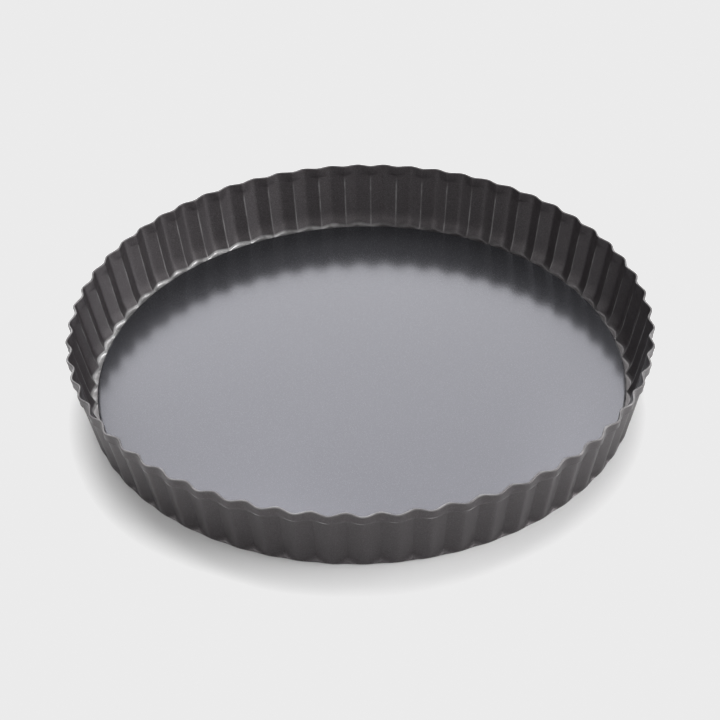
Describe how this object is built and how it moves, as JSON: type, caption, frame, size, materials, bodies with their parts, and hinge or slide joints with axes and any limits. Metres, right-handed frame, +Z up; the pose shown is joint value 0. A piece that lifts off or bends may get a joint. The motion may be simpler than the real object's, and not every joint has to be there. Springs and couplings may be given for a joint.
{
  "type": "loose-bottom fluted tart pan",
  "caption": "Round shallow tart pan: a flared fluted ring with a folded rim and an inner ledge, and a flat loose base that lifts out.",
  "frame": {"origin": "centre of the plane the pan stands on, on the pan's axis, at the underside of the ring's ledge", "axes": "+Z up along the pan's axis, out of its open mouth; +X and +Y each pass through the bulge of a flute"},
  "size_m": [0.28, 0.28, 0.035],
  "materials": {
    "ring_coat": "satin",
    "base_coat": "satin"
  },
  "bodies": {
    "ring": {"fluted_ring": "ring_coat"},
    "base": {"loose_base": "base_coat"}
  },
  "joints": [
    {"name": "base_lift", "type": "slide", "parent": "ring", "child": "base", "axis": [0, 0, 1], "range_m": [0, 0.06]}
  ]
}
